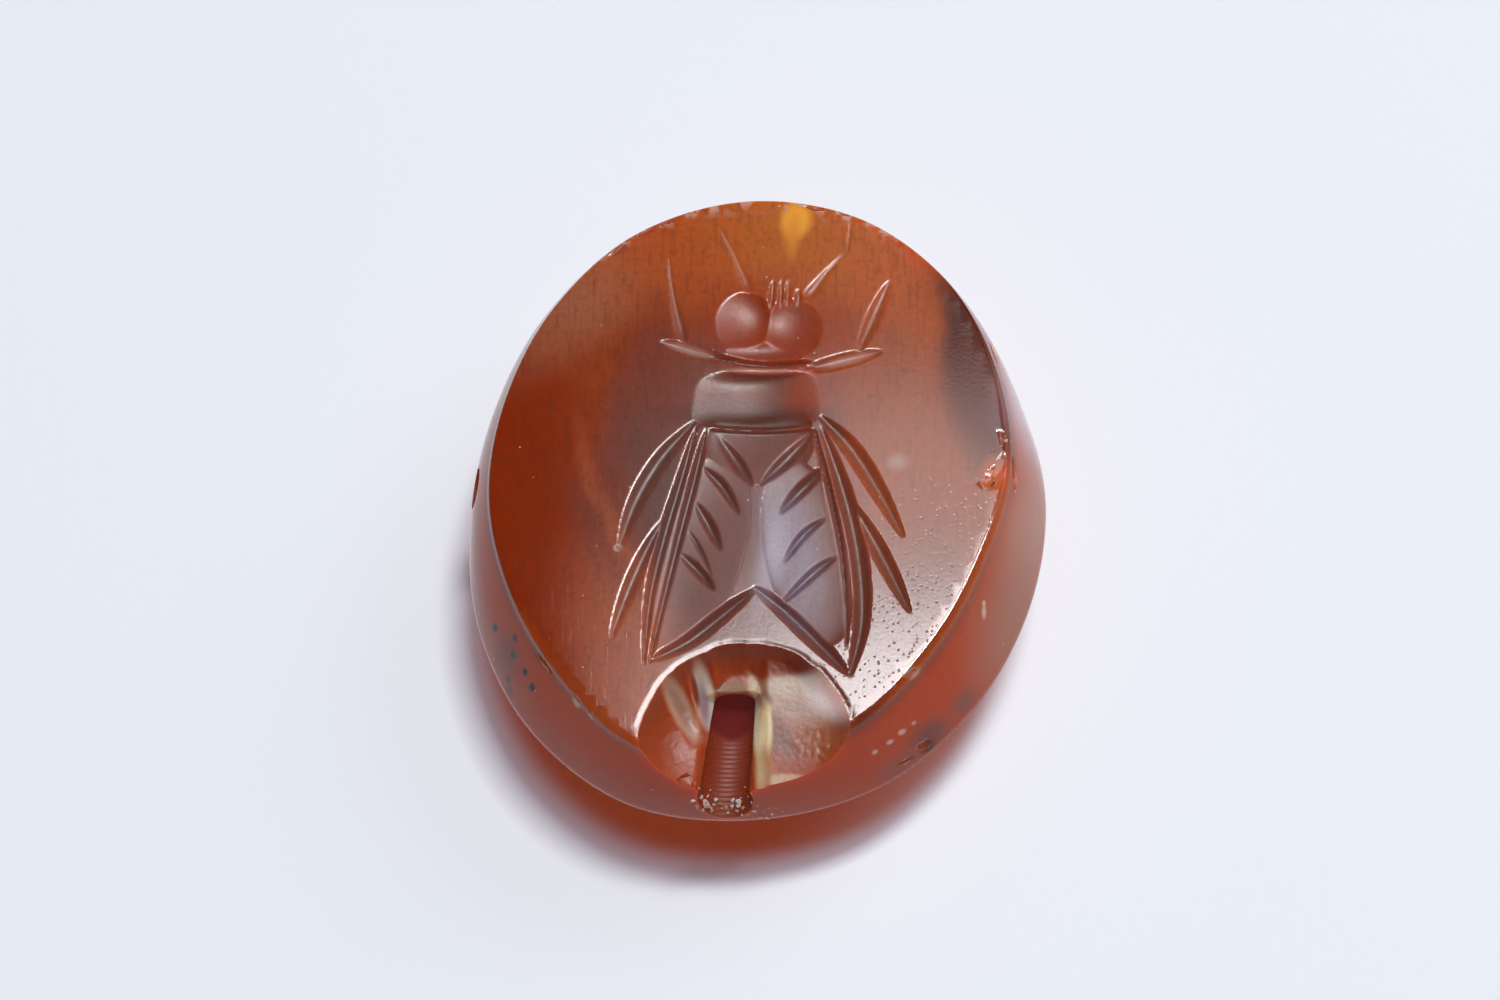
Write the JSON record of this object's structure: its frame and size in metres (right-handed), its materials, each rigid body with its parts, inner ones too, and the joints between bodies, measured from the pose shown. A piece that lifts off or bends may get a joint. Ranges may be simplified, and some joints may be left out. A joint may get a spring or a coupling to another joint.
{
  "type": "intaglio gem",
  "caption": "Oval drilled seal stone of banded carnelian with a flat face engraved in sunk relief with a winged insect, a sloping wall, a domed back and a shell-shaped break at the string hole.",
  "frame": {"origin": "under the middle of the stone, on the flat crown of its domed back", "axes": "+Z out of the engraved face, +Y along the stone towards the insect's head, +X to the right as the face is seen"},
  "size_m": [0.0186, 0.0206, 0.0079],
  "materials": {
    "carnelian": "polished, translucent",
    "soil": "matte, crumbly"
  },
  "bodies": {
    "root": {"carnelian_gem": "carnelian", "side_bore_soil": "soil"}
  },
  "joints": []
}
